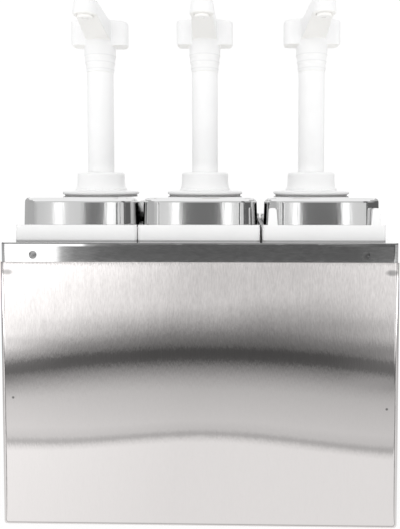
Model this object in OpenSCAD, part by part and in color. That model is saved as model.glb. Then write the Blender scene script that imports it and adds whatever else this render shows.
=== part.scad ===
// Sauce pump dispenser: a bent sheet steel housing that holds three plastic jars in a row.
// Each jar has a pressed steel lid that carries a hand pump with a swivelling spout.
// Units are millimetres. The origin is the middle of the base on the table, and the front faces -Y.

/* [Housing] */
// Height of the top frame above the table
housing_h = 248.5; // [220:0.5:280]
// Thickness of the steel sheet
sheet_t = 1.5; // [1:0.1:2]
// Outside radius of the housing's upright corner bends
corner_r = 5; // [5:0.5:10]
// Outside radius of the frame's top edge bend
edge_r = 3; // [2.5:0.5:4]
// Height of the frame's turned-down band
band_h = 16.5; // [14:0.5:24]
// How far the frame's ends stand in from the shell's sides
frame_inset = 1.2; // [0.5:0.1:1.4]
// Housing left showing outside the jar rims at each end
side_margin = 8.5; // [6:0.5:20]
// Frame left showing in front of and behind the jar rims
front_margin = 14; // [10:0.5:40]
// Width of the folded returns at the back of the shell
rear_return = 22; // [18:1:40]
// Height of the base pan's upturned wall
pan_wall_h = 12; // [6:1:30]
// Overlap of the lap strip above and below the frame joint
lap_h = 12; // [10:0.5:13]
// Diameter of a screw head
screw_head_d = 7; // [5:0.5:8]
// Diameter of a screw shank
screw_d = 4; // [3:0.5:4.5]
// Distance of the outer screws from the ends of the housing
screw_inset = 30; // [20:0.5:60]

/* [Jars] */
// Width of a jar's rim
rim_w = 109; // [106:1:130]
// Depth of a jar's rim, front to back
rim_d = 184; // [160:1:240]
// Height of a jar's rim above the frame
rim_h = 14.4; // [12:0.1:20]
// Gap between neighbouring rims
rim_gap = 1.5; // [1.5:0.1:6]
// Plan radius of the rim's corners
rim_r = 4; // [3.5:0.5:8]
// How far the rim stands out past the jar's body
rim_overhang = 4.5; // [4:0.1:6]
// Wall of the jar
jar_wall = 2.5; // [2:0.1:3]
// Plan radius of the jar's body
jar_r = 20; // [16:1:30]
// How far each wall leans in from the rim to the floor
jar_draft = 4; // [1:0.5:8]
// Radius between the jar's walls and floor
jar_foot_r = 8; // [5:0.5:10]
// Free height between the jar and the base pan
jar_floor_gap = 22; // [10:1:40]
// Height of the end lips that hide the lid's lower edge
lip_h = 3.3; // [2:0.1:5]
// Thickness of the end lips
lip_t = 3; // [2:0.1:4]
// Width of a lid lug at its foot
lug_w = 9; // [6:0.5:12]
// Height of a lid lug above the rim
lug_h = 15; // [8:0.5:20]
// Thickness of a lid lug
lug_t = 4.5; // [3:0.5:5]
// Distance from the rim's end to the middle of a lug
lug_inset = 9; // [7:0.5:10]
// Sideways play taken up by each jar in its cut-out, left to right
jar_shift = [0, -0.9, -0.3]; // [-1.1:0.1:1.1]

/* [Lids] */
// Height of a lid
lid_h = 27.6; // [18:0.1:30]
// Thickness of the lid's sheet
lid_t = 1.2; // [0.8:0.1:1.5]
// How far each side of the lid leans in from foot to top
lid_flare = 0.7; // [0.5:0.1:3]
// Plan radius of the lid's corners at its foot
lid_r = 18; // [16:0.5:30]
// Radius of the lid's top edge
lid_edge_r = 4.5; // [2:0.5:6]
// Inset of the lid's long sides from the rim
lid_side_inset = 1.7; // [0:0.1:2]
// Gap between the lid's ends and the lips
lid_end_gap = 0.6; // [0.4:0.1:1]

/* [Pump mounting] */
// Diameter of the mounting flange
flange_d = 78.5; // [70:0.5:84]
// Thickness of the mounting flange
flange_t = 4.5; // [4:0.1:8]
// Fall of the flange's top from the collar to its edge
flange_fall = 1; // [0:0.1:2]
// Thickness of the gasket under the flange
gasket_t = 0.8; // [0.5:0.1:4]
// Diameter of the gasket
gasket_d = 74; // [66:1:76]
// Outside diameter of the flange's threaded neck
neck_d = 41; // [41:0.5:44]
// Height of the neck above the flange
neck_h = 13.4; // [12:0.1:20]
// Outside diameter of the collar nut at its foot
collar_d = 53; // [51:0.5:56]
// Height of the collar nut's wide foot
collar_foot_h = 1.5; // [1:0.5:8]
// How far the collar nut's side curves and leans in above its foot
collar_lean = 2.2; // [0.6:0.1:2.5]
// Number of grip flutes round the collar nut
collar_flutes = 24; // [12:4:36]
// Thickness of the collar nut's top
collar_top_t = 3; // [2:0.5:5]
// Height of the lock nut under the lid
lock_nut_h = 9; // [6:0.5:12]
// Outside diameter of the lock nut
lock_nut_d = 56; // [50:1:64]
// Number of grip notches round the lock nut
nut_notches = 8; // [6:2:12]

/* [Pump] */
// Bore of the pump barrel
bore_d = 30; // [30:0.5:32]
// Wall of the barrel
barrel_wall = 2; // [1.5:0.1:2]
// Full travel of the pump
stroke = 90; // [60:1:95]
// Length of tube left showing when the pump is fully down
tube_spare = 13.6; // [8:0.1:30]
// Outside diameter of the plunger tube
tube_d = 27.1; // [26:0.1:27.4]
// Wall of the plunger tube
tube_wall = 2.6; // [2:0.1:3]
// Length of the piston
piston_len = 16; // [12:0.5:24]
// Diameter of a valve ball
ball_d = 9; // [7:0.5:10]
// Outside diameter of the suction tube
suction_d = 14; // [12:0.5:16]
// Wall of the suction tube
suction_wall = 1.5; // [1:0.1:2]
// Free height between the suction tube and the jar's floor
suction_gap = 10; // [6:1:20]
// Diameter of the return spring's wire
wire_d = 1.4; // [1:0.1:1.6]
// Number of turns of the return spring
spring_turns = 8; // [6:1:9]

/* [Pump head] */
// Height of the ringed hub
hub_h = 27.5; // [18:0.5:32]
// Diameter at the top of the hub
hub_d = 32.6; // [31:0.1:38]
// Number of rings on the hub
hub_rings = 3; // [2:1:6]
// Span of the two finger wings
wing_span = 58.5; // [50:0.5:72]
// Height of the wings at the middle
wing_h = 26; // [24:0.5:34]
// Depth of the wings, front to back
wing_depth = 19; // [15:0.5:24]
// How far the wing tips droop below the middle
wing_droop = 1.5; // [1:0.5:8]
// Radius of the wings' upper ends, seen from the front
wing_end_r = 3.5; // [3:0.5:9]
// Radius of the wings' lower ends, seen from the front
wing_foot_r = 3; // [1:0.5:5]
// Reach of the nozzle in front of the pump's axis
reach = 70; // [55:1:76]
// Width of the spout at the hub
spout_w = 24.5; // [22:0.5:28]
// Width of the spout at the nozzle
spout_tip_w = 19.5; // [18:0.5:22]
// Height of the spout's underside above the wings' underside
spout_lift = 5; // [4:0.5:8]
// Step down from the top of the wings to the top of the spout
spout_step = 2; // [1:0.5:4]
// Rise of the spout's top from hub to nozzle
spout_rise = 2.5; // [0.5:0.5:8]
// Bore of the spout
spout_bore = 9; // [6:0.5:10]
// Diameter of the nozzle sleeve at its rim
sleeve_d = 22.8; // [22:0.1:26]
// Height of the nozzle sleeve below the top of the spout
sleeve_h = 15.7; // [15:0.1:21]
// Outside diameter of the outlet
outlet_d = 14; // [12:0.1:14]
// Hole in the outlet's tip
outlet_hole = 5; // [3:0.5:7]
// Length of outlet that shows below the sleeve
outlet_drop = 2.4; // [2:0.1:9]
// Turn of each spout about its pump, left to right
spout_turn = [3.5, 1.5, 1.5]; // [-30:0.5:30]

/* [Fits] */
// Side gap of two fixed pieces that fit together
fit_gap = 0.2; // [0.1:0.05:0.4]
// Gap all round between pieces that slide or turn
slide_gap = 0.3; // [0.25:0.05:0.5]
// Radial gap of the piston seal in the barrel
seal_gap = 0.1; // [0.05:0.01:0.2]
// Gap between the shell's top edge and the frame's band
joint_gap = 0.2; // [0.1:0.05:0.5]
// Gap round a jar in its cut-out
jar_gap = 1.5; // [1:0.1:2]

/* [Hidden] */
$fn = 64;
STATIONS = ["left", "middle", "right"];
PER_STATION = ["jar", "lid", "gasket", "mount_flange", "collar_nut", "lock_nut", "barrel", "foot_valve",
    "inlet_ball", "suction_tube", "return_spring", "piston", "piston_seal", "outlet_ball",
    "plunger_tube", "pump_head", "outlet"];

steel = "silver";
bright_steel = "gainsboro";
white = "whitesmoke";
natural = "ivory";
rubber = "lightgray";
eps = 0.01;

// Housing sizes follow from the row of jars
pitch = rim_w + rim_gap;
housing_w = 2 * pitch + rim_w + 2 * side_margin;
housing_d = rim_d + 2 * front_margin;
band_z = housing_h - band_h;
front_y = -housing_d / 2;
rear_y = housing_d / 2;
screw_x = housing_w / 2 - screw_inset;
screw_z = band_z + lap_h / 2;
screw_dome_h = screw_head_d / 4;
screw_shank = 2 * sheet_t + 2;

// Jar levels and sizes
rim_top = housing_h + rim_h;
land_z = rim_top - lip_h;
land_t = jar_wall;
jar_z = sheet_t + jar_floor_gap;
body_w = rim_w - 2 * rim_overhang;
body_d = rim_d - 2 * rim_overhang;
mouth_w = body_w - 2 * jar_wall;
mouth_d = body_d - 2 * jar_wall;
mouth_r = jar_r - jar_wall;
jar_floor = jar_z + jar_wall;
cut_w = body_w + 2 * jar_gap;
cut_d = body_d + 2 * jar_gap;

// Lid levels and sizes
lid_w = rim_w - 2 * lid_side_inset;
lid_d = rim_d - 2 * (lip_t + lid_end_gap);
lid_top = land_z + lid_h;
lid_shoulder = lid_flare + lid_edge_r;

// Pump levels, from the lid upwards
flange_z = lid_top + gasket_t;
collar_z = flange_z + flange_t;
neck_top = collar_z + neck_h;
barrel_rim_t = 2;
barrel_top = neck_top + barrel_rim_t;
collar_top = barrel_top + collar_top_t;
hub_z = collar_top + stroke + tube_spare;
wing_z = hub_z + hub_h;
wing_top = wing_z + wing_h;

// Pump levels, from the barrel's mouth downwards
spigot_drop = lock_nut_h + 2;
spigot_z = lid_top - lid_t - spigot_drop;
barrel_d = bore_d + 2 * barrel_wall;
barrel_rim_d = neck_d - 2 * fit_gap;
piston_top = barrel_top - slide_gap;
piston_z = piston_top - piston_len;
spring_solid = (spring_turns + 2) * wire_d;
valve_top = piston_z - stroke - spring_solid;
valve_floor_t = 5;
valve_cup = 12;
valve_way_r = ball_d / 2 - 1.5;
cage_r = ball_d / 2 + 1;
valve_skirt_t = 2.5;
valve_z = valve_top - valve_floor_t - ball_d - 5;
barrel_z = valve_top;
suction_socket = 8;
suction_z = jar_floor + suction_gap;
spring_d = bore_d - 3;
tube_bore = tube_d - 2 * tube_wall;
neck_bore = barrel_d + 2 * fit_gap;

// Shape of the spout, seen from the side
spout_top = wing_top - spout_step;
nozzle_top = spout_top + spout_rise;
sleeve_z = nozzle_top - sleeve_h;
sleeve_wall = 2;
sleeve_flare = 1.4;
sleeve_soft = 2.2;
outlet_z = sleeve_z - outlet_drop;
outlet_seat = 5;
sleeve_recess = 6;
spout_belly = wing_z + spout_lift;
hub_bore = spout_bore + 4;
bore_hub_z = spout_belly + 0.4 * (wing_top - spout_belly);
elbow_d = spout_bore + 1;
elbow_roof = 2.2;
bore_nozzle_z = nozzle_top - elbow_roof - elbow_d / 2;
bore_tilt = atan((bore_nozzle_z - bore_hub_z) / reach);

// A rectangle with true round corners, centred on the origin
module round_rect(w, d, r) {
    square([w - 2 * r, d], center = true);
    square([w, d - 2 * r], center = true);
    for (x = [-1, 1], y = [-1, 1])
        translate([x * (w / 2 - r), y * (d / 2 - r)]) circle(r);
}

// Carries a wall section round a rounded rectangle; the section's x is measured outwards from it
module wall_round(w, d, r) {
    for (q = [0:3]) {
        along = (q % 2 == 0 ? d : w) - 2 * r;
        out = (q % 2 == 0 ? w : d) / 2;
        rotate(90 * q) {
            translate([out, along / 2, 0]) rotate([90, 0, 0]) linear_extrude(along) children();
            translate([out - r, along / 2, 0]) rotate_extrude(angle = 90) translate([r, 0]) children();
        }
    }
}

// Points of an arc in a wall section
function arc(cx, cy, r, a0, a1, steps = 6) =
    [for (i = [0:steps]) let (a = a0 + (a1 - a0) * i / steps) [cx + r * cos(a), cy + r * sin(a)]];

module ring(d, bore, h) {
    difference() {
        cylinder(d = d, h = h);
        translate([0, 0, -1]) cylinder(d = bore, h = h + 2);
    }
}

module at_station(s) {
    translate([(s - 1) * pitch + jar_shift[s], 0, 0]) children();
}

// Front and sides in one bent sheet, with returns folded in at the back
module housing_shell() {
    color(steel) linear_extrude(band_z - joint_gap) difference() {
        round_rect(housing_w, housing_d, corner_r);
        round_rect(housing_w - 2 * sheet_t, housing_d - 2 * sheet_t, corner_r - sheet_t);
        translate([-housing_w / 2 + rear_return, 0])
            square([housing_w - 2 * rear_return, housing_d]);
    }
}

// Plain back, behind the returns and up inside the frame's band
module rear_panel() {
    w = housing_w - 2 * corner_r;
    color(steel) difference() {
        translate([-w / 2, rear_y - 2 * sheet_t, 0]) cube([w, sheet_t, band_z + lap_h]);
        rear_screw_places() screw_hole();
    }
}

module base_pan() {
    w = housing_w - 2 * sheet_t - 2 * fit_gap;
    d = housing_d - 3 * sheet_t - 2 * fit_gap;
    r = corner_r - sheet_t;
    color(steel) translate([0, -sheet_t / 2, 0]) {
        linear_extrude(sheet_t) round_rect(w, d, r);
        linear_extrude(pan_wall_h) difference() {
            round_rect(w, d, r);
            round_rect(w - 2 * sheet_t, d - 2 * sheet_t, r - sheet_t);
        }
    }
}

// Top frame: a sheet with three cut-outs, bent over into a band all round
module top_frame() {
    inner = edge_r - sheet_t;
    w = housing_w - 2 * frame_inset;
    color(steel) difference() {
        union() {
            wall_round(w, housing_d, corner_r) polygon(concat(
                [[-sheet_t, band_z], [0, band_z]],
                arc(-edge_r, housing_h - edge_r, edge_r, 0, 90),
                arc(-edge_r, housing_h - edge_r, inner, 90, 0)));
            translate([0, 0, housing_h - sheet_t]) linear_extrude(sheet_t) difference() {
                round_rect(w - 2 * edge_r, housing_d - 2 * edge_r, corner_r - edge_r);
                for (s = [0:2])
                    translate([(s - 1) * pitch, 0]) round_rect(cut_w, cut_d, jar_r + jar_gap);
            }
        }
        front_screw_places() screw_hole();
        rear_screw_places() screw_hole();
    }
}

// Strip inside the front that the shell and the frame's band are both fixed to
module lap_strip() {
    w = housing_w - 2 * corner_r;
    color(steel) difference() {
        translate([-w / 2, front_y + sheet_t, band_z - lap_h]) cube([w, sheet_t, 2 * lap_h]);
        front_screw_places() screw_hole();
    }
}

module front_screw_places() {
    for (x = [-1, 1]) translate([x * screw_x, front_y, screw_z]) rotate([90, 0, 0]) children();
}

module rear_screw_places() {
    for (x = [-1, 1]) translate([x * screw_x, rear_y, screw_z]) rotate([-90, 0, 0]) children();
}

module screw_hole() {
    translate([0, 0, -4 * sheet_t]) cylinder(d = screw_d + 2 * fit_gap, h = 5 * sheet_t);
}

// Low dome head on the band with a plain shank behind it
module screw() {
    dome_r = (pow(screw_head_d / 2, 2) + pow(screw_dome_h, 2)) / (2 * screw_dome_h);
    intersection() {
        translate([0, 0, screw_dome_h - dome_r]) sphere(dome_r);
        cylinder(d = screw_head_d, h = screw_dome_h + 1);
    }
    translate([0, 0, -screw_shank]) cylinder(d = screw_d, h = screw_shank);
}

module housing_screws() {
    color(bright_steel) {
        front_screw_places() screw();
        rear_screw_places() screw();
    }
}

// Jar: drafted body, flat land, skirt that stands on the frame, end lips and two lid lugs
module jar() {
    foot_w = jar_draft + jar_foot_r;
    inner_r = jar_foot_r - jar_wall;
    color(white) {
        wall_round(body_w, body_d, jar_r) polygon(concat(
            [[-jar_wall, land_z - eps], [0, land_z - eps]],
            arc(-foot_w, jar_z + jar_foot_r, jar_foot_r, 0, -90),
            arc(-foot_w, jar_z + jar_foot_r, inner_r, -90, 0)));
        translate([0, 0, jar_z]) linear_extrude(jar_wall)
            round_rect(body_w - 2 * foot_w, body_d - 2 * foot_w, jar_r - foot_w);
        translate([0, 0, land_z - land_t]) linear_extrude(land_t) difference() {
            round_rect(rim_w, rim_d, rim_r);
            round_rect(mouth_w, mouth_d, mouth_r);
        }
        translate([0, 0, housing_h]) linear_extrude(land_z - housing_h) difference() {
            round_rect(rim_w, rim_d, rim_r);
            round_rect(rim_w - 2 * jar_wall, rim_d - 2 * jar_wall, rim_r - jar_wall);
        }
        translate([0, 0, land_z]) linear_extrude(lip_h) difference() {
            round_rect(rim_w, rim_d, rim_r);
            square([rim_w + 1, rim_d - 2 * lip_t], center = true);
        }
        for (x = [-1, 1]) translate([x * (rim_w / 2 - lug_inset), rim_d / 2, land_z]) lug();
    }
}

// Upright tab, narrower at its rounded top
module lug() {
    top_w = lug_w * 0.75;
    tip_r = top_w / 3;
    h = lip_h + lug_h;
    rotate([90, 0, 0]) linear_extrude(lug_t) {
        polygon([[-lug_w / 2, 0], [lug_w / 2, 0], [top_w / 2, h - tip_r], [-top_w / 2, h - tip_r]]);
        translate([0, h - tip_r]) square([top_w - 2 * tip_r, 2 * tip_r], center = true);
        for (x = [-1, 1]) translate([x * (top_w / 2 - tip_r), h - tip_r]) circle(tip_r);
    }
}

// Pressed lid: flared walls, round top edge and a hole for the pump
module lid() {
    crown = lid_top - lid_edge_r;
    color(bright_steel) difference() {
        union() {
            wall_round(lid_w, lid_d, lid_r) polygon(concat(
                [[-lid_t, land_z], [0, land_z]],
                arc(-lid_shoulder, crown, lid_edge_r, 0, 90),
                arc(-lid_shoulder, crown, lid_edge_r - lid_t, 90, 0)));
            translate([0, 0, lid_top - lid_t]) linear_extrude(lid_t)
                round_rect(lid_w - 2 * lid_shoulder, lid_d - 2 * lid_shoulder, lid_r - lid_shoulder);
        }
        translate([0, 0, lid_top - 2 * lid_t])
            cylinder(d = neck_d + 2 * fit_gap, h = 3 * lid_t);
    }
}

module gasket() {
    color(rubber) translate([0, 0, lid_top]) ring(gasket_d, neck_d + 2 * fit_gap, gasket_t);
}

// Disc on the lid with a threaded neck above it and a threaded spigot through the lid
module mount_flange() {
    r = flange_d / 2;
    soft = (flange_t - flange_fall) / 2.2;
    color(white) rotate_extrude() polygon(concat(
        [[neck_bore / 2, spigot_z], [neck_d / 2, spigot_z], [neck_d / 2, flange_z]],
        arc(r - soft, flange_z + soft, soft, -90, 0),
        arc(r - soft, collar_z - flange_fall - soft, soft, 0, 90),
        [[collar_d / 2, collar_z], [neck_d / 2, collar_z],
         [neck_d / 2, neck_top], [neck_bore / 2, neck_top]]));
}

// Cap that holds the barrel's rim down on the neck and guides the plunger tube
module collar_nut() {
    r = collar_d / 2;
    soft = 0.8 * collar_top_t;
    seat_r = neck_d / 2 + fit_gap;
    foot_top = collar_z + collar_foot_h;
    collar_sweep = (barrel_top - foot_top) / 1.5;
    flute_d = 3;
    flute_depth = 0.35;
    color(white) difference() {
        rotate_extrude() polygon(concat(
            [[seat_r, collar_z], [r, collar_z], [r, foot_top]],
            [for (a = [20:14:90]) [r - collar_lean * sin(a), foot_top + collar_sweep * (1 - cos(a))]],
            arc(r - collar_lean - soft, collar_top - soft, soft, 0, 90),
            [[tube_d / 2 + slide_gap, collar_top], [tube_d / 2 + slide_gap, barrel_top],
             [seat_r, barrel_top]]));
        for (a = [0:360 / collar_flutes:359])
            rotate(a) translate([r + flute_d / 2 - flute_depth, 0, collar_z - 1])
                cylinder(d = flute_d, h = collar_foot_h + 1);
    }
}

// Ring nut that clamps the flange to the lid from below
module lock_nut() {
    notch_d = lock_nut_d / 6;
    color(white) translate([0, 0, lid_top - lid_t - lock_nut_h]) difference() {
        ring(lock_nut_d, neck_d + 2 * fit_gap, lock_nut_h);
        for (a = [0:360 / nut_notches:359])
            rotate(a) translate([lock_nut_d / 2 + notch_d / 5, 0, -1])
                cylinder(d = notch_d, h = lock_nut_h + 2);
    }
}

// Cylinder of the pump with a rim that hangs on the neck
module barrel() {
    color(natural) difference() {
        union() {
            translate([0, 0, barrel_z]) cylinder(d = barrel_d, h = barrel_top - barrel_z);
            translate([0, 0, neck_top]) cylinder(d = barrel_rim_d, h = barrel_rim_t);
        }
        translate([0, 0, barrel_z - 1]) cylinder(d = bore_d, h = barrel_top - barrel_z + 2);
    }
}

// Cap under the barrel: a cup on its foot, a conical ball seat and a socket for the suction tube
module foot_valve() {
    cup_r = barrel_d / 2 + fit_gap;
    seat_z = valve_z + valve_floor_t;
    socket_r = suction_d / 2 + fit_gap;
    color(natural) rotate_extrude() polygon([
        [cup_r, valve_top], [cup_r, valve_top + valve_cup],
        [cup_r + valve_skirt_t, valve_top + valve_cup],
        [cup_r + valve_skirt_t, valve_top - 3], [socket_r + valve_skirt_t, valve_z],
        [socket_r + valve_skirt_t, valve_z - suction_socket], [socket_r, valve_z - suction_socket],
        [socket_r, valve_z], [valve_way_r, valve_z], [valve_way_r, seat_z],
        [cage_r, seat_z + cage_r - valve_way_r], [cage_r, valve_top]]);
}

// Ball that lies just off a 45 degree seat whose narrow end has this level and radius
module valve_ball(seat_z, seat_r) {
    translate([0, 0, seat_z - seat_r + (ball_d / 2 + slide_gap) * sqrt(2)]) sphere(d = ball_d);
}

module inlet_ball() {
    color(bright_steel) valve_ball(valve_z + valve_floor_t, valve_way_r);
}

module outlet_ball() {
    color(bright_steel) valve_ball(piston_z + piston_len / 2, valve_way_r);
}

module suction_tube() {
    color(natural) translate([0, 0, suction_z]) difference() {
        cylinder(d = suction_d, h = valve_z - suction_z);
        translate([0, 0, -1])
            cylinder(d = suction_d - 2 * suction_wall, h = valve_z - suction_z + 2);
        rotate([0, 90, 0]) cylinder(d = suction_d / 2, h = suction_d, center = true);
    }
}

// Helical spring, one unbroken six-sided wire with eight rings in each turn
spring_rings = spring_turns * 8;
spring_r = (spring_d - wire_d) / 2;
spring_z0 = valve_top + wire_d / 2 + eps;
spring_z1 = piston_z - wire_d / 2 - eps;
spring_slope = (spring_z1 - spring_z0) / (spring_turns * 2 * PI * spring_r);
spring_points = [for (i = [0:spring_rings], j = [0:5])
    let (a = 45 * i, b = 60 * j, z = spring_z0 + (spring_z1 - spring_z0) * i / spring_rings,
         n = sqrt(1 + spring_slope * spring_slope),
         up = [spring_slope * sin(a), -spring_slope * cos(a), 1] / n)
    [spring_r * cos(a), spring_r * sin(a), z]
        + wire_d / 2 * (cos(b) * [cos(a), sin(a), 0] + sin(b) * up)];
spring_faces = concat(
    [for (j = [1:4]) [0, j, j + 1]],
    [for (i = [0:spring_rings - 1], j = [0:5], half = [0, 1])
        let (k = (j + 1) % 6, a = 6 * i, b = a + 6)
        half == 0 ? [a + j, b + j, a + k] : [a + k, b + j, b + k]],
    [for (j = [1:4]) let (e = 6 * spring_rings) [e, e + j + 1, e + j]]);
spring_gap = min([for (i = [0:spring_rings - 8], j = [0:5], k = [0:5])
    norm(spring_points[6 * i + j] - spring_points[6 * (i + 8) + k])]);
echo(spring_gap = spring_gap);

module return_spring() {
    color(bright_steel) polyhedron(spring_points, spring_faces);
}

// Piston: seal groove, outlet ball seat and a spigot that the plunger tube turns on
piston_d = bore_d - 2 * slide_gap;
groove_d = bore_d - 6;
groove_h = 4;
groove_z = piston_z + piston_len / 2 - groove_h - 2;
tube_z = piston_top;
spigot_h = 10;
spigot_top = tube_z + spigot_h;

module piston() {
    seat_z = piston_z + piston_len / 2;
    r = piston_d / 2;
    color(natural) rotate_extrude() polygon([
        [valve_way_r, piston_z], [r, piston_z], [r, groove_z], [groove_d / 2, groove_z],
        [groove_d / 2, groove_z + groove_h], [r, groove_z + groove_h], [r, piston_top - slide_gap],
        [tube_bore / 2 - slide_gap, piston_top - slide_gap], [tube_bore / 2 - slide_gap, spigot_top],
        [cage_r, spigot_top], [cage_r, seat_z + cage_r - valve_way_r], [valve_way_r, seat_z]]);
}

module piston_seal() {
    color(rubber) translate([0, 0, groove_z + fit_gap / 2])
        ring(bore_d - 2 * seal_gap, groove_d + fit_gap, groove_h - fit_gap);
}

module plunger_tube() {
    color(white) translate([0, 0, tube_z]) ring(tube_d, tube_bore, hub_z - tube_z);
}

// Profile of the hub: rings that step outwards from the tube to the wings
hub_ring_h = hub_h / (hub_rings + 1);
hub_step = (hub_d - tube_d) / 2 / hub_rings;
hub_dip = 1.2;
hub_profile = concat(
    [[0, hub_z], [tube_d / 2, hub_z]],
    [for (i = [1:hub_rings], e = [0, 1])
        [tube_d / 2 + hub_step * (i - 0.2 * e), hub_z + hub_ring_h * (i - 0.5 + 0.6 * e)]],
    [[hub_d / 2, wing_z], [hub_d / 2, wing_top - hub_dip], [0, wing_top - hub_dip]]);

// Hub with two finger wings and a spout that rises to the front, all in one moulding
module pump_head() {
    spigot_len = 12;
    color(white) difference() {
        union() {
            rotate_extrude() polygon(hub_profile);
            translate([0, 0, hub_z - spigot_len])
                cylinder(d = tube_bore - 2 * fit_gap, h = spigot_len + 1);
            wings();
            spout();
            translate([0, -reach, 0]) nozzle_sleeve();
        }
        translate([0, 0, hub_z - spigot_len - 1])
            cylinder(d = hub_bore, h = bore_hub_z + spout_bore / 2 + 2 - hub_z + spigot_len);
        translate([0, 0, bore_hub_z]) rotate([90 - bore_tilt, 0, 0])
            cylinder(d = spout_bore, h = reach / cos(bore_tilt));
        translate([0, -reach, sleeve_z - 1])
            ring(sleeve_d - 2 * sleeve_wall, outlet_d + 3, sleeve_recess + 1);
        translate([0, -reach, sleeve_z - 1]) cylinder(d = outlet_d + 2 * fit_gap, h = outlet_seat + 1);
        translate([0, -reach, bore_nozzle_z]) sphere(d = elbow_d);
        translate([0, -reach, sleeve_z]) cylinder(d = spout_bore - 1, h = bore_nozzle_z - sleeve_z);
    }
}

// Wings: a crowned outline seen from the front, cut to a waisted plan
module wings() {
    crown_r = (pow(wing_span / 2, 2) + pow(wing_droop, 2)) / (2 * wing_droop);
    intersection() {
        translate([0, hub_d, 0]) rotate([90, 0, 0]) linear_extrude(2 * hub_d) intersection() {
            union() {
                translate([0, wing_z + wing_h / 2]) round_rect(wing_span, wing_h, wing_end_r);
                translate([0, wing_z + wing_h / 4]) round_rect(wing_span, wing_h / 2, wing_foot_r);
            }
            translate([0, wing_top - crown_r]) circle(crown_r, $fn = 256);
        }
        translate([0, 0, wing_z - 1]) linear_extrude(wing_h + 2) {
            round_rect(wing_span, wing_depth, wing_depth / 2.5);
            circle(d = hub_d);
        }
    }
}

// Spout: a side outline carried across its width, then narrowed towards the nozzle
module spout() {
    belly_end = -reach + sleeve_d / 4;
    intersection() {
        translate([-spout_w / 2, 0, 0]) rotate([90, 0, 90]) linear_extrude(spout_w) polygon([
            [0, spout_belly], [-hub_d / 2, spout_belly], [belly_end, sleeve_z + sleeve_soft],
            [-reach, sleeve_z + sleeve_soft], [-reach, nozzle_top - sleeve_soft],
            [belly_end, nozzle_top], [-hub_d / 2, spout_top], [0, spout_top]]);
        translate([0, 0, spout_belly - 1]) linear_extrude(wing_h + 2 * spout_lift) polygon([
            [-spout_w / 2, 1], [-spout_w / 2, -hub_d / 2], [-spout_tip_w / 2, -reach - 1],
            [spout_tip_w / 2, -reach - 1], [spout_w / 2, -hub_d / 2], [spout_w / 2, 1]]);
    }
}

module nozzle_sleeve() {
    r = sleeve_d / 2;
    soft = 3;
    rotate_extrude() polygon(concat(
        [[0, sleeve_z]],
        arc(r - sleeve_soft, sleeve_z + sleeve_soft, sleeve_soft, -90, 0, 4),
        arc(r - sleeve_flare - soft, nozzle_top - soft, soft, 0, 90),
        [[0, nozzle_top]]));
}

// Outlet tube pressed into the end of the spout
module outlet() {
    bore_r = spout_bore / 2 - 0.5;
    tip_r = outlet_hole / 2;
    tip_t = 1.5;
    r = outlet_d / 2;
    color(white) translate([0, -reach, 0]) rotate_extrude() polygon(concat(
        [[tip_r, outlet_z]],
        arc(r - tip_t, outlet_z + tip_t, tip_t, -90, 0, 4),
        [[r, sleeve_z + outlet_seat - fit_gap], [bore_r, sleeve_z + outlet_seat - fit_gap],
         [bore_r, outlet_z + tip_t + bore_r - tip_r], [tip_r, outlet_z + tip_t]]));
}

housing_shell();
rear_panel();
base_pan();
top_frame();
lap_strip();
housing_screws();

// The right jar stands turned round, with its lugs in front
for (s = [0:2]) at_station(s) {
    name = STATIONS[s];
    rotate(s == 2 ? 180 : 0) jar();
    lid();
    gasket();
    mount_flange();
    collar_nut();
    lock_nut();
    barrel();
    foot_valve();
    inlet_ball();
    suction_tube();
    return_spring();
    piston();
    piston_seal();
    outlet_ball();
    plunger_tube();
    rotate(spout_turn[s]) pump_head();
    rotate(spout_turn[s]) outlet();
}
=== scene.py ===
"""Sauce pump dispenser: three white jars with polished lids and pumps in a brushed steel housing."""

import math

import bmesh
import bpy
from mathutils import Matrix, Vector


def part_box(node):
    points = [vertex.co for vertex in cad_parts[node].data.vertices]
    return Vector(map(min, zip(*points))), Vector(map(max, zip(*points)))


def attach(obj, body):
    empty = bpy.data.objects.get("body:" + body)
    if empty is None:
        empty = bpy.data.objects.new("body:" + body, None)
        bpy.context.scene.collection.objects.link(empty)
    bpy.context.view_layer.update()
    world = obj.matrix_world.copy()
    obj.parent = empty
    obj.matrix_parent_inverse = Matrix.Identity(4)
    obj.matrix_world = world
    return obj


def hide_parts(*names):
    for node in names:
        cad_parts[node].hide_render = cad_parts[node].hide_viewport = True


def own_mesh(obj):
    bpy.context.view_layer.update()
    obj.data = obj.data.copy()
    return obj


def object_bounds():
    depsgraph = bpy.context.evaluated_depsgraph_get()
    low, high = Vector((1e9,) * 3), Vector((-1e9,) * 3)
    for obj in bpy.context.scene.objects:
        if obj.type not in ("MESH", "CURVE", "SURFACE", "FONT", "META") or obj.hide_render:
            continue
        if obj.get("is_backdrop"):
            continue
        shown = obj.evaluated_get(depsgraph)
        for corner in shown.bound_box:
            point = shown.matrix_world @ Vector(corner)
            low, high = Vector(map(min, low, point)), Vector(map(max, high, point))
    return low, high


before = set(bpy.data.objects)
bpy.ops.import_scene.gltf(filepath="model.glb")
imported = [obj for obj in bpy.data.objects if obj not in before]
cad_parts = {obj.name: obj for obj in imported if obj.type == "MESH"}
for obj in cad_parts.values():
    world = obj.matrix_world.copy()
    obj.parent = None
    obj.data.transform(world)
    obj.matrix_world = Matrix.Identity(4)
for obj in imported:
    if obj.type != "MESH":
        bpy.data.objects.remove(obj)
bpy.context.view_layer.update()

scene = bpy.context.scene
scene.view_settings.view_transform = "Standard"

STATIONS = ("left", "middle", "right")
shell_low, shell_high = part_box("housing_shell")
FRONT = shell_low.y
BACK = shell_high.y
HALF_WIDTH = shell_high.x
FRAME_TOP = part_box("top_frame")[1].z
HEAD_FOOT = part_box("left_pump_head")[0].z


# Node trees

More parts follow.
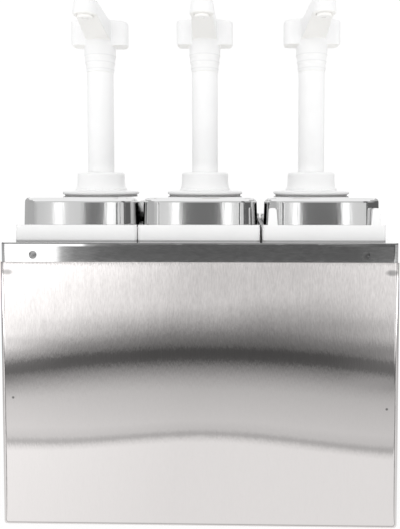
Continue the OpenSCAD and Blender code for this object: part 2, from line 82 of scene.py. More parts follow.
MIX_LOW, MIX_HIGH, MIX_COLOUR = 6, 7, 2  # a Mix node's sockets for colours, by number


def operator(operation, swapped=False):
    """A method of Wire that adds one Math node."""

    def method(self, *others):
        values = (*others, self) if swapped else (self, *others)
        return self.tree.add("ShaderNodeMath", {"operation": operation}, dict(enumerate(values)))

    return method


class Wire:
    """A value running through a node tree; arithmetic on it adds Math nodes."""

    def __init__(self, tree, socket):
        self.tree = tree
        self.socket = socket

    __add__ = operator("ADD")
    __radd__ = operator("ADD", swapped=True)
    __sub__ = operator("SUBTRACT")
    __rsub__ = operator("SUBTRACT", swapped=True)
    __mul__ = operator("MULTIPLY")
    __rmul__ = operator("MULTIPLY", swapped=True)
    __truediv__ = operator("DIVIDE")
    __pow__ = operator("POWER")
    __abs__ = operator("ABSOLUTE")
    least = operator("MINIMUM")
    most = operator("MAXIMUM")
    cosine = operator("COSINE")
    sine = operator("SINE")

    def ease(self, low, high):
        """0 at low, 1 at high, with a soft change between."""
        limits = {"Value": self, "From Min": low, "From Max": high}
        return self.tree.add("ShaderNodeMapRange", {"interpolation_type": "SMOOTHSTEP"}, limits)

    def between(self, low, high):
        """low where this value is 0, high where it is 1."""
        return low + (high - low) * self


class Tree:
    """A shader or geometry node tree, filled one node at a time."""

    def __init__(self, node_tree):
        self.node_tree = node_tree

    def add(self, kind, settings=None, sockets=None, out=0):
        """Adds a node, sets it up, feeds its sockets and gives back one of its outputs."""
        made = self.node_tree.nodes.new(kind)
        for name, value in (settings or {}).items():
            if name == "stops":
                set_stops(made.color_ramp, value)
            else:
                setattr(made, name, value)
        for key, value in (sockets or {}).items():
            if isinstance(value, Wire):
                self.node_tree.links.new(value.socket, made.inputs[key])
            else:
                made.inputs[key].default_value = value
        return Wire(self, made.outputs[out]) if len(made.outputs) else None

    def place(self):
        """The point on the piece, in metres."""
        return self.add("ShaderNodeTexCoord", out="Object")

    def normal(self):
        """The surface's own direction."""
        return self.add("ShaderNodeNewGeometry", out="Normal")

    def ray(self, kind):
        """What the light path says of the ray that arrives."""
        return self.add("ShaderNodeLightPath", out=kind)

    def axes(self, vector):
        """The x, y and z of a vector."""
        first = self.add("ShaderNodeSeparateXYZ", None, {0: vector})
        return [Wire(self, part) for part in first.socket.node.outputs]

    def noise(self, scale, detail=2.0, stretch=(1, 1, 1)):
        """Noise about 0.5, drawn out along the axes whose stretch is small."""
        drawn = self.add("ShaderNodeMapping", None, {"Vector": self.place(), "Scale": stretch})
        return self.add("ShaderNodeTexNoise", None, {"Vector": drawn, "Scale": scale, "Detail": detail})

    def tint(self, mask, low, high):
        """A colour that goes from low to high as the mask goes from 0 to 1."""
        sockets = {0: mask, MIX_LOW: colour(low), MIX_HIGH: colour(high)}
        return self.add("ShaderNodeMix", {"data_type": "RGBA"}, sockets, out=MIX_COLOUR)

    def ramp(self, tones, value, start, end):
        """A grey that follows a value from start to end, by pairs of value and level."""
        span = end - start
        stops = [((at - start) / span, level) for at, level in tones]
        return self.add("ShaderNodeValToRGB", {"stops": stops}, {"Fac": (value - start) / span})

    def bump(self, height, strength, depth, facing=None):
        """The surface's direction with a fine relief of this depth in metres."""
        sockets = {"Height": height, "Strength": strength, "Distance": depth}
        if facing:
            sockets["Normal"] = facing
        return self.add("ShaderNodeBump", None, sockets)


def grey(level):
    """An even grey."""
    return (level, level, level)


def colour(shade):
    """A shade as a colour socket takes it."""
    return shade if isinstance(shade, Wire) else (*shade, 1.0)


def set_stops(ramp, stops):
    """Gives a ramp these pairs of position and level."""
    while len(ramp.elements) < len(stops):
        ramp.elements.new(1.0)
    for element, (at, level) in zip(ramp.elements, stops):
        element.position = at
        element.color = colour(grey(level))


def new_finish(name):
    """An empty material and its tree."""
    made = bpy.data.materials.new(name)
    made.use_nodes = True
    made.node_tree.nodes.clear()
    return made, Tree(made.node_tree)


def close_finish(tree, sockets):
    """Ends a material in one surface shader with these sockets."""
    surface = tree.add("ShaderNodeBsdfPrincipled", None, sockets)
    tree.add("ShaderNodeOutputMaterial", None, {"Surface": surface})


def close_glow(tree, shade, strength=1.0):
    """Ends a stage material in plain light of this shade."""
    glow = tree.add("ShaderNodeEmission", None, {"Color": colour(shade), "Strength": strength})
    tree.add("ShaderNodeOutputMaterial", None, {"Surface": glow})


# Where on a piece a finish changes, and where painted light and shade go

def facing_up(tree):
    """1 on level tops, 0 on walls and round edges."""
    up = tree.axes(tree.normal())[2]
    return up.ease(0.98, 0.998)


def facing_down(tree):
    """1 on undersides, 0 on walls and tops."""
    up = tree.axes(tree.normal())[2]
    return up.ease(-0.2, -0.8)


def round_edge(tree):
    """1 on the round edge between a wall and its top, 0 on both."""
    up = tree.axes(tree.normal())[2]
    return up.ease(0.05, 0.3) * up.ease(0.99, 0.9)


def leaned_normal(tree, lean):
    """The surface's own direction, tipped up by a small slope."""
    tipped = tree.add("ShaderNodeVectorMath", {"operation": "ADD"}, {0: tree.normal(), 1: (0, 0, lean)})
    return tree.add("ShaderNodeVectorMath", {"operation": "NORMALIZE"}, {0: tipped})


def soft_spots(tree, spots):
    """How dark the weld marks and painted shade on the front sheet are: each is its x, z, half width, half
    height and depth.
    """
    x, y, z = tree.axes(tree.place())
    on_front = y.ease(FRONT + 0.006, FRONT + 0.002)
    darkest = None
    for at_x, at_z, wide, tall, depth in spots:
        across = (x - at_x) / wide
        up = (z - at_z) / tall
        spot = depth * (across * across + up * up).ease(1.6, 0.0)
        darkest = spot if darkest is None else darkest.most(spot)
    return darkest * on_front


def ring_lines(tree, heights):
    """1 in the fine lines of painted shade at these heights, 0 between them."""
    z = tree.axes(tree.place())[2]
    lines = None
    for height in heights:
        line = abs(z - height).ease(0.0008, 0.0002)
        lines = line if lines is None else lines.most(line)
    return lines


# Finishes

LENGTHWISE, UPRIGHT = 0, 2
BRUSH_STRETCH = 0.2
RUBBED_TO, FRESH_FROM = 0.135, 0.185
MOULD_GRAIN, RUBBER_GRAIN = 2600, 1200
# Painted light and shade: the left screw is drawn lit, the right one shaded.
LEFT_SCREW_PAINTED_LIGHT, RIGHT_SCREW_PAINTED_SHADE = grey(0.40), grey(0.14)
# Darkest tone of the sheet's weld marks and of its painted shade.
MARK_AND_PAINTED_SHADE = grey(0.15)
# Painted shadow line at the jars' foot, and painted shade on the jar below it.
PAINTED_FOOT_SHADOW = grey(0.2)
PAINTED_SUNK_SHADE = grey(0.80)
# Painted shade in thin lines under the hub's rings.
PAINTED_RING_SHADE = grey(0.35)
# Painted bounce light, warm, on the pump heads' undersides.
PAINTED_UNDERSIDE_BOUNCE = (0.945, 0.935, 0.91)


def brushed_steel(name, along, low, high, gloss, relief, spots=(), lean=0.0, top=None, edge=None):
    """Sheet steel with brush lines along one axis, rubbed faint low down on the box.

    Spots are darker weld marks and painted shade, lean tips what it mirrors, top is painted shade on level
    tops and edge a painted dark reflection on round edges.
    """
    made, tree = new_finish(name)
    stretch = tuple(BRUSH_STRETCH if axis == along else 1.0 for axis in range(3))
    fine = tree.noise(scale=820, detail=3.0, stretch=stretch)
    broad = tree.noise(scale=260, stretch=stretch)
    wiped = tree.noise(scale=9)
    lines = 0.65 * fine + 0.35 * broad
    z = tree.axes(tree.place())[2]
    fresh = 0.15 + 1.5 * z.ease(RUBBED_TO, FRESH_FROM)
    shade = tree.tint(0.5 + fresh * (lines - 0.5), low, high)
    if spots:
        shade = tree.tint(soft_spots(tree, spots), shade, MARK_AND_PAINTED_SHADE)
    if top:
        shade = tree.tint(facing_up(tree), shade, top)
    if edge:
        shade = tree.tint(round_edge(tree), shade, edge)
    facing = leaned_normal(tree, lean) if lean else None
    close_finish(tree, {
        "Base Color": shade,
        "Metallic": 1.0,
        "Roughness": gloss + 0.04 * lines + 0.02 * wiped,
        "Normal": tree.bump(lines, relief, depth=0.0004, facing=facing),
    })
    return made


def polished_steel(name, low, high, gloss, top=None):
    """Bright steel with faint wiping marks; top is painted shade on level tops."""
    made, tree = new_finish(name)
    wiped = tree.noise(scale=22, detail=3.0)
    haze = tree.noise(scale=420, stretch=(1, 1, 0.1))
    shade = tree.tint(wiped, low, high)
    if top:
        shade = tree.tint(facing_up(tree) * (0.8 + 0.2 * wiped), shade, top)
    close_finish(tree, {
        "Base Color": shade,
        "Metallic": 1.0,
        "Roughness": gloss + 0.05 * wiped + 0.03 * haze,
        "Normal": tree.bump(haze, strength=0.03, depth=0.0002),
    })
    return made


def screw_steel():
    """The screws' steel, with painted light at the left end that turns to painted shade towards the right
    end.
    """
    made, tree = new_finish("screw_steel")
    x = tree.axes(tree.place())[0]
    wiped = tree.noise(scale=600)
    close_finish(tree, {
        "Base Color": tree.tint(x.ease(-0.05, 0.05), LEFT_SCREW_PAINTED_LIGHT, RIGHT_SCREW_PAINTED_SHADE),
        "Metallic": 1.0,
        "Roughness": 0.36 + 0.10 * wiped,
        "Normal": tree.bump(wiped, strength=0.05, depth=0.0002),
    })
    return made


def moulded_plastic(name, low, high, gloss, grain=MOULD_GRAIN, foot=None, rings=()):
    """Moulded plastic with a fine grain and flow shading a few centimetres across.

    At a foot's height there is a painted shadow line, with the part below it painted in shade. Rings are
    heights of faint lines of painted shade, and a ringed piece has painted bounce light on its undersides.
    """
    made, tree = new_finish(name)
    flow = tree.noise(scale=38, detail=3.0)
    pits = tree.noise(scale=grain)
    shade = tree.tint(flow.ease(0.3, 0.7), low, high)
    if foot:
        up = tree.axes(tree.place())[2] - foot
        # painted shadow along the foot, then painted shade below it
        line = up.ease(0.0013, 0.0008) * up.ease(-0.0004, 0.0)
        shade = tree.tint(0.55 * line, shade, PAINTED_FOOT_SHADOW)
        shade = tree.tint(up.ease(0.0, -0.02), shade, PAINTED_SUNK_SHADE)
    if rings:
        # painted shade lines under the hub's rings
        shade = tree.tint(0.12 * ring_lines(tree, rings), shade, PAINTED_RING_SHADE)
        # painted bounce light on undersides
        shade = tree.tint(facing_down(tree), shade, PAINTED_UNDERSIDE_BOUNCE)
    close_finish(tree, {
        "Base Color": shade,
        "Roughness": gloss + 0.10 * flow + 0.06 * pits,
        "Normal": tree.bump(pits, strength=0.06, depth=0.0002),
    })
    return made


SHEET = {"low": (0.595, 0.573, 0.567), "high": (0.87, 0.838, 0.828), "gloss": 0.005, "relief": 0.10}
BAND = {"low": grey(0.60), "high": grey(0.85), "gloss": 0.01, "relief": 0.008}
BAND_LEAN = 0.01
# Painted shade: level steel tops are drawn darker than their walls.
PAINTED_TOP_SHADE = grey(0.50)
# Painted dark reflection along the band's round edges.
PAINTED_EDGE_REFLECTION = grey(0.16)
JAR_SHADES = ((0.885, 0.885, 0.884), (0.91, 0.91, 0.909))
GASKET_SHADES = ((0.58, 0.58, 0.575), (0.66, 0.66, 0.65))
WELD = (0.0012, 0.0012, 0.85)  # half width, half height and depth, as for the next two
PAINTED_CORNER_REFLECTION = (0.0055, 0.0027, 0.65)
SEAM_AND_PAINTED_SHADOW = (0.034, 0.0011, 0.4)
SHELL_SPOTS = (
    (-0.1624, 0.1127, *WELD),
    (0.1626, 0.1048, *WELD),
    # painted dark reflections of the dents below the top corners
    (-0.1660, 0.2231, *PAINTED_CORNER_REFLECTION),
    (0.1660, 0.2231, *PAINTED_CORNER_REFLECTION),
    # the seam under the band's left end, darkened by painted shadow
    (-0.150, 0.2313, *SEAM_AND_PAINTED_SHADOW),
)
HUB_RINGS = tuple(HEAD_FOOT + rise for rise in (0.0154, 0.0223, 0.0292))

steel_shell = brushed_steel("brushed_shell", UPRIGHT, **SHEET, spots=SHELL_SPOTS)
steel_sheet = brushed_steel("brushed_sheet", UPRIGHT, **SHEET)
steel_band = brushed_steel("brushed_band", LENGTHWISE, **BAND, lean=BAND_LEAN, top=PAINTED_TOP_SHADE, edge=PAINTED_EDGE_REFLECTION)
steel_lid = polished_steel("polished_lid", grey(0.77), grey(0.83), gloss=0.02, top=PAINTED_TOP_SHADE)
steel_screw = screw_steel()
steel_wire = polished_steel("spring_wire", (0.55, 0.55, 0.54), (0.66, 0.66, 0.65), gloss=0.20)
steel_ball = polished_steel("valve_ball", (0.70, 0.70, 0.69), (0.78, 0.78, 0.77), gloss=0.05)
white_jar = moulded_plastic("jar_white", *JAR_SHADES, gloss=0.34, foot=FRAME_TOP)
white_pump = moulded_plastic("pump_white", grey(0.905), grey(0.925), gloss=0.30)
# Painted light: the collar parts are drawn whiter than the tube's plastic, to make up for the light they
# miss.
white_collar = moulded_plastic("collar_white", grey(0.96), grey(0.97), gloss=0.30)
white_head = moulded_plastic("head_white", grey(0.873), grey(0.893), gloss=0.30, rings=HUB_RINGS)
cream_outlet = moulded_plastic("outlet_cream", (0.94, 0.93, 0.91), (0.96, 0.95, 0.93), gloss=0.36)
natural_barrel = moulded_plastic("barrel_natural", (0.74, 0.76, 0.74), (0.82, 0.83, 0.81), gloss=0.40)
pale_rubber = moulded_plastic("gasket_rubber", *GASKET_SHADES, gloss=0.55, grain=RUBBER_GRAIN)
grey_rubber = moulded_plastic("seal_rubber", grey(0.10), (0.15, 0.15, 0.145), gloss=0.55, grain=RUBBER_GRAIN)

HOUSING_FINISHES = {
    "housing_shell": steel_shell,
    "rear_panel": steel_sheet,
    "base_pan": steel_sheet,
    "lap_strip": steel_sheet,
    "top_frame": steel_band,
    "housing_screws": steel_screw,
}
STATION_FINISHES = {
    "jar": white_jar,
    "lid": steel_lid,
    "gasket": pale_rubber,
    "mount_flange": white_collar,
    "collar_nut": white_collar,
    "lock_nut": white_collar,
    "barrel": natural_barrel,
    "foot_valve": natural_barrel,
    "inlet_ball": steel_ball,
    "suction_tube": natural_barrel,
    "return_spring": steel_wire,
    "piston": natural_barrel,
    "piston_seal": grey_rubber,
    "outlet_ball": steel_ball,
    "plunger_tube": white_pump,
    "pump_head": white_head,
    "outlet": cream_outlet,
}


def dress(mesh, finish):
    """Gives a mesh this finish alone."""
    mesh.materials.clear()
    mesh.materials.append(finish)


for node, finish in HOUSING_FINISHES.items():
    dress(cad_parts[node].data, finish)
for station in STATIONS:
    for piece, finish in STATION_FINISHES.items():
        dress(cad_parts[f"{station}_{piece}"].data, finish)


# Ways to make a piece

def new_object(name, data):
    """An object at the origin, put into the scene."""
    made = bpy.data.objects.new(name, data)
    scene.collection.objects.link(made)
    return made


def keep_mesh(holder, name):
    """The holder's evaluated mesh as a plain object at the origin; the holder goes."""
    drawn = holder.evaluated_get(bpy.context.evaluated_depsgraph_get())
    mesh = bpy.data.meshes.new_from_object(drawn)
    mesh.name = name
    bpy.data.objects.remove(holder)
    return new_object(name, mesh)


def keep_shape(shape, name, finish):
    """A closed shape as a plain object, with its faces turned outwards."""
    bmesh.ops.recalc_face_normals(shape, faces=shape.faces)
    mesh = bpy.data.meshes.new(name)
    shape.to_mesh(mesh)
    shape.free()
    dress(mesh, finish)
    return new_object(name, mesh)


def join_rows(shape, here, there):
    """Faces between two rows of as many points."""
    for step in range(len(here) - 1):
        shape.faces.new((here[step], here[step + 1], there[step + 1], there[step]))


class Former:
    """A geometry node tree with named sizes, run on an empty mesh."""

    def __init__(self, name, sizes):
        group = bpy.data.node_groups.new(name, "GeometryNodeTree")
        group.interface.new_socket("Geometry", in_out="OUTPUT", socket_type="NodeSocketGeometry")
        self.keys = {}
        for size in sizes:
            socket = group.interface.new_socket(size, in_out="INPUT", socket_type="NodeSocketFloat")
            self.keys[size] = socket.identifier
        self.group = group
        self.tree = Tree(group)
        entry = group.nodes.new("NodeGroupInput")
        self.sizes = {size: Wire(self.tree, entry.outputs[size]) for size in sizes}

    def close(self, geometry, finish):
        """Ends the tree in one real mesh of one finish."""
        real = self.tree.add("GeometryNodeRealizeInstances", None, {0: geometry})
        faced = self.tree.add("GeometryNodeSetMaterial", None, {"Geometry": real, "Material": finish})
        self.tree.add("NodeGroupOutput", None, {"Geometry": faced})

    def run(self, name, values):
        """A piece of these sizes."""
        holder = new_object(name, bpy.data.meshes.new(name))
        step = holder.modifiers.new(name, "NODES")
        step.node_group = self.group
        for size, value in values.items():
            step[self.keys[size]] = value
        return keep_mesh(holder, name)


# Return springs

WIRE = 0.0014
WIRE_SIDES = 10
COIL_TURNS = 10.0
COIL_STEPS = 300


def spring_former():
    """A compression spring with closed ends, wound up from its foot."""
    former = Former("return_spring", ("X", "Foot", "Length", "Radius", "Wire", "Turns"))
    tree, size = former.tree, former.sizes
    wire, turns = size["Wire"], size["Turns"]
    path = tree.add("GeometryNodeCurvePrimitiveLine")
    steps = tree.add("GeometryNodeResampleCurve", None, {"Curve": path, "Count": COIL_STEPS})
    turn = tree.add("GeometryNodeSplineParameter") * turns
    angle = turn * (2 * math.pi)
    run = size["Length"] - wire
    pitch = (run - 2 * wire) / (turns - 2)
    foot_turn = turn * wire
    open_turns = wire + (turn - 1) * pitch
    head_turn = run - (turns - turn) * wire
    rise = foot_turn.most(open_turns).least(head_turn)
    point = tree.add("ShaderNodeCombineXYZ", None, {
        "X": size["X"] + size["Radius"] * angle.cosine(),
        "Y": size["Radius"] * angle.sine(),
        "Z": size["Foot"] + 0.5 * wire + rise,
    })
    coil = tree.add("GeometryNodeSetPosition", None, {"Geometry": steps, "Position": point})
    section = tree.add("GeometryNodeCurvePrimitiveCircle", None, {
        "Resolution": WIRE_SIDES,
        "Radius": 0.5 * wire,
    })
    wound = tree.add("GeometryNodeCurveToMesh", None, {
        "Curve": coil,
        "Profile Curve": section,
        "Fill Caps": True,
    })
    smooth = tree.add("GeometryNodeSetShadeSmooth", None, {"Geometry": wound})
    former.close(smooth, steel_wire)
    return former


springs = spring_former()
for station in STATIONS:
    low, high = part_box(f"{station}_return_spring")
    axis_x = (low.x + high.x) / 2
    length = high.z - low.z
    coil = springs.run(f"{station}_coil", {
        "X": axis_x,
        "Foot": low.z,
        "Length": length,
        "Radius": (high.x - low.x - WIRE) / 2,
        "Wire": WIRE,
        "Turns": COIL_TURNS,
    })
    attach(coil, f"{station}_lid")
    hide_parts(f"{station}_return_spring")
    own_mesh(coil)


# Pump heads with eased edges

HEAD_GRAIN = 0.00055
HEAD_ROUNDS = 4
SAME_POINT = 0.00002


def softened_copy(node, name, grain, rounds):
    """A copy of a moulded node with its edges rounded off."""
    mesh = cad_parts[node].data.copy()
    shape = bmesh.new()
    shape.from_mesh(mesh)
    bmesh.ops.remove_doubles(shape, verts=shape.verts, dist=SAME_POINT)
    shape.to_mesh(mesh)
    shape.free()
    holder = new_object(name, mesh)
    skin = holder.modifiers.new("skin", "REMESH")
    skin.mode = "VOXEL"
    skin.voxel_size = grain
    skin.use_smooth_shade = True
    ease = holder.modifiers.new("ease", "SMOOTH")
    ease.factor = 0.5
    ease.iterations = rounds
    return keep_mesh(holder, name)


for station in STATIONS:
    head = softened_copy(f"{station}_pump_head", f"{station}_moulded_head", HEAD_GRAIN, HEAD_ROUNDS)
    dress(head.data, white_head)
    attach(head, f"{station}_spout")
    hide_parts(f"{station}_pump_head")


# The band's outer edge

FRAME_CORNER = 0.005
FRAME_BEND = 0.003
CRISP_EDGE = 0.001
ARC_STEPS = 8
CREASE = math.radians(30)


def trim_section(bend, crisp):
    """The edge's outline, out and up from the bend's centre: two flats with a small round between.

    A short hold beside the round keeps the flats' shading flat.
    """
    hold = crisp / 40
    flat = bend - crisp - hold
    section = [(0.5 * bend, 0.5 * bend), (bend, 0.0), (bend, flat)]
    for step in range(ARC_STEPS + 1):
        angle = math.pi / 2 * step / ARC_STEPS
        section.append((bend - crisp * (1 - math.cos(angle)), bend - crisp * (1 - math.sin(angle))))
    return section + [(flat, bend), (0.0, bend)]


def edge_trim(name, node, corner, bend, crisp, finish):
    """A crisp outer edge laid over a sheet's bend, all round a frame with round corners."""
    low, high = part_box(node)
    right, left = high.x - corner, low.x + corner
    rear, front = high.y - corner, low.y + corner
    section = trim_section(bend, crisp)
    shape = bmesh.new()
    rows = []
    for quarter, (turn_x, turn_y) in enumerate(((right, rear), (left, rear), (left, front), (right, front))):
        for step in range(ARC_STEPS + 1):
            angle = math.pi / 2 * (quarter + step / ARC_STEPS)
            row = []
            for out, up in section:
                reach = corner - bend + out
                x = turn_x + reach * math.cos(angle)
                y = turn_y + reach * math.sin(angle)
                row.append(shape.verts.new((x, y, high.z - bend + up)))
            rows.append(row)
    for here, there in zip(rows, rows[1:] + rows[:1]):
        join_rows(shape, here + here[:1], there + there[:1])
    made = keep_shape(shape, name, finish)
    made.data.shade_smooth()
    made.data.set_sharp_from_angle(angle=CREASE)
    return made


band_edge = edge_trim("band_edge", "top_frame", FRAME_CORNER, FRAME_BEND, CRISP_EDGE, steel_band)
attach(band_edge, "housing")


# Drip lips in the outlets

LIP_RADIUS = 0.0026
LIP_SLIT = 0.0002
LIP_RISE = 0.0010
LIP_STEPS = 14
LIP_RINGS = 5
LIP_SKINS = ((0.0, -0.2), (0.3, 0.0))  # height and dome of the lower and the upper skin, in radii


def lip_skin(shape, middle, radius, slit, side, height, dome):
    """One skin of a lip, a half lens beside the slit. Gives its hub and its rings from there outwards."""
    near = middle.y + side * slit / 2
    hub = shape.verts.new((middle.x, near, middle.z + (height + dome) * radius))
    rings = []
    for ring in range(1, LIP_RINGS + 1):
        out = ring / LIP_RINGS
        z = middle.z + (height + dome * (1 - out * out)) * radius
        row = []
        for step in range(LIP_STEPS + 1):
            angle = math.pi * step / LIP_STEPS
            x = middle.x + out * radius * math.cos(angle)
            y = near + side * out * (radius - slit / 2) * math.sin(angle)
            row.append(shape.verts.new((x, y, z)))
        rings.append(row)
    for a, b in zip(rings[0], rings[0][1:]):
        shape.faces.new((hub, a, b))
    for inner, outer in zip(rings, rings[1:]):
        join_rows(shape, inner, outer)
    return hub, rings


def drip_lips(name, middle, radius, slit, finish):
    """Two soft lips that close the outlet's hole: half lenses on either side of a slit."""
    shape = bmesh.new()
    for side in (-1, 1):
        rims = []
        cuts = []
        for height, dome in LIP_SKINS:
            hub, rings = lip_skin(shape, middle, radius, slit, side, height, dome)
            rims.append(rings[-1])
            cuts.append([row[-1] for row in reversed(rings)] + [hub] + [row[0] for row in rings])
        join_rows(shape, *rims)
        join_rows(shape, *cuts)
    return keep_shape(shape, name, finish)


for station in STATIONS:
    low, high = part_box(f"{station}_outlet")
    middle = Vector(((low.x + high.x) / 2, (low.y + high.y) / 2, low.z + LIP_RISE))
    lips = drip_lips(f"{station}_drip_lips", middle, LIP_RADIUS, LIP_SLIT, white_pump)
    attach(lips, f"{station}_spout")


# The stage: a floor, and cards that only show in reflections

FLOOR_HALF = 30
FLOOR_TOP = -0.0004
FLOOR_SHADE = grey(0.88)
FLOOR_GLOW = (3.1, 1.22)  # where it isn't seen and where it is, as for the share
FLOOR_GLOW_SHARE = (0.14, 0.62)
TABLE_TOP = 0.0002
TABLE_HALF = 1.4
TABLE_END = 1.5
TABLE_FRONT = FRONT - 0.001
TABLE_SIDE = HALF_WIDTH + 0.0002
TABLE_BACK = BACK + 0.0002
FAR = -1.60
FAR_FOOT = FAR - 0.01
FAR_POST = FAR - 0.02
FAR_WALL = FAR - 0.03
FAR_HALF = 2.2
FOOT_TOP = 0.032
EDGE_TOP = 0.125
WALL_TOP = 0.36
ROOF_TOP = 1.20
POST_FOOT = 0.016
WALL_LEFT, WALL_RIGHT = -1.0, 1.05
SIDE_WALL = 1.45
SIDE_TOP = 1.2
SIDE_LOW_TOP = 0.26
SIDE_STEP, SIDE_END = 2.4, 12

# Levels along a card, as pairs of place and brightness
SIDE_TABLE_REACH = 1.3
SIDE_TABLE_TONES = (
    (0.0, 0.92), (0.12, 0.82), (0.30, 0.66), (0.50, 0.52), (0.75, 0.50), (1.00, 0.68), (1.22, 0.90),
)
TABLE_REACH = 1.2
TABLE_TONES = (
    (0.150, 1.00), (0.159, 0.86), (0.171, 0.50), (0.183, 0.70), (0.207, 0.76), (0.270, 0.68),
    (0.308, 0.62), (0.349, 0.49), (0.391, 0.32), (0.416, 0.21), (0.440, 0.10), (0.464, 0.085),
    (0.494, 0.085), (0.522, 0.16), (0.583, 0.25), (0.657, 0.43), (0.742, 0.61), (0.844, 0.76),
    (0.950, 0.79),
)
FAR_FOOT_TONES = ((-0.650, 1.2), (-0.60, 1.0), (-0.50, 0.85), (-0.20, 0.75), (0.80, 0.75))
FAR_EDGE_TONES = (
    (-0.652, 1.7), (-0.640, 1.5), (-0.622, 0.58), (-0.600, 0.44), (-0.570, 0.29), (-0.526, 0.26),
    (-0.482, 0.18), (-0.390, 0.155), (-0.170, 0.13), (0.450, 0.13), (0.510, 0.16), (0.590, 0.20),
    (0.650, 0.16), (0.720, 0.13),
)
FAR_WALL_TONES = ((-1.0, 0.62), (-0.75, 0.64), (-0.72, 0.68), (-0.675, 0.76), (0.60, 0.74))
FAR_ROOF_TONES = ((-0.55, 0.75), (-0.35, 0.68), (0.55, 0.62), (0.70, 0.12))
LEFT_POST_TONES = ((-1.45, 0.52), (-1.0, 0.62))
FAR_CARDS = (
    ("far_foot", -FAR_HALF, FAR_HALF, FAR_FOOT, 0.0, FOOT_TOP, FAR_FOOT_TONES),
    ("far_edge", -FAR_HALF, FAR_HALF, FAR, FOOT_TOP, EDGE_TOP, FAR_EDGE_TONES),
    ("far_wall", WALL_LEFT, WALL_RIGHT, FAR_WALL, EDGE_TOP, WALL_TOP, FAR_WALL_TONES),
    ("far_roof", -SIDE_WALL, SIDE_WALL, FAR_WALL, WALL_TOP, ROOF_TOP, FAR_ROOF_TONES),
)
LIT = 1.6
LEFT_LEVEL, RIGHT_LEVEL = 0.50, 0.13
FAR_POSTS = (
    (-0.655, -0.622, LIT), (-0.543, -0.464, 0.19), (-0.463, -0.430, LIT),
    (-0.216, -0.184, LIT), (-0.185, -0.027, 0.18), (-0.026, 0.006, LIT),
    (0.232, 0.259, LIT), (0.261, 0.413, 0.18), (0.415, 0.443, LIT),
)


def stage_plane(name, corners, finish):
    """A flat stage sheet through four corners."""
    mesh = bpy.data.meshes.new(name)
    mesh.from_pydata(corners, [], [(0, 1, 2, 3)])
    dress(mesh, finish)
    made = new_object(name, mesh)
    made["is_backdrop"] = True
    return made


def mirror_card(name, corners, finish):
    """A card that only shows in reflections."""
    card = stage_plane(name, corners, finish)
    card.visible_camera = False
    card.visible_diffuse = False
    card.visible_transmission = False
    card.visible_volume_scatter = False
    card.visible_shadow = False


def level_corners(x0, x1, y0, y1, z):
    """The corners of a level sheet."""
    return [(x0, y0, z), (x1, y0, z), (x1, y1, z), (x0, y1, z)]


def upright_card(name, x0, x1, y, z0, z1, finish):
    """A mirror card that faces the box from the front."""
    mirror_card(name, [(x0, y, z0), (x1, y, z0), (x1, y, z1), (x0, y, z1)], finish)


def side_card(name, x, y0, y1, top, finish):
    """A mirror card that faces the box from a side."""
    mirror_card(name, [(x, y0, 0), (x, y1, 0), (x, y1, top), (x, y0, top)], finish)


def floor_finish():
    """A pale matt floor that also glows: near white where it is seen, and light from below elsewhere."""
    made, tree = new_finish("floor_white")
    seen = tree.ray("Is Camera Ray").most(tree.ray("Is Glossy Ray")).most(tree.ray("Is Transmission Ray"))
    matt = tree.add("ShaderNodeBsdfDiffuse", None, {"Color": colour(FLOOR_SHADE)})
    strength = seen.between(*FLOOR_GLOW)
    share = seen.between(*FLOOR_GLOW_SHARE)
    glow = tree.add("ShaderNodeEmission", None, {"Color": colour(grey(1.0)), "Strength": strength})
    mixed = tree.add("ShaderNodeMixShader", None, {0: share, 1: matt, 2: glow})
    tree.add("ShaderNodeOutputMaterial", None, {"Surface": mixed})
    return made


def even_card_finish(name, level):
    """A studio card of one even brightness."""
    made, tree = new_finish(name)
    close_glow(tree, grey(level))
    return made


def ramp_card_finish(name, tones, start=-1.0, end=1.0, axis=0):
    """A studio card whose brightness changes along an axis."""
    made, tree = new_finish(name)
    close_glow(tree, tree.ramp(tones, tree.axes(tree.place())[axis], start, end))
    return made


def side_card_finish(name, level):
    """A wall beside the table: one level where the lids show it from the front, paler above and below."""
    tones = ((0.0, 0.60), (0.13, 0.45), (0.18, level), (0.42, level), (0.52, 0.45), (SIDE_TOP, 0.62))
    return ramp_card_finish(name, tones, start=0.0, end=SIDE_TOP, axis=2)


def side_tone(tree, x, y):
    """The table's brightness beside and behind the box: darker away from it, then bright again."""
    aside = (abs(x) - HALF_WIDTH).most(0)
    behind = (y - BACK).most(0)
    away = (aside * aside + behind * behind) ** 0.5
    return tree.ramp(SIDE_TABLE_TONES, away, 0.0, SIDE_TABLE_REACH)


def side_table_finish():
    """The table beside and behind the box."""
    made, tree = new_finish("side_table")
    x, y, _ = tree.axes(tree.place())
    close_glow(tree, side_tone(tree, x, y))
    return made


def bowed_reach(x, ahead):
    """How far out on the table a point counts as: its bands are bowed far out and wavy close by."""
    off = x + 0.033 - 0.05 * ahead
    arch = (0.585 + 0.46 * ahead) * off * off
    wave = 0.023 * x.ease(-0.005, -0.19) + 0.039 * x.ease(-0.005, 0.24)
    close = ahead.ease(0.32, 0.22)
    return ahead + close.between(arch, wave)


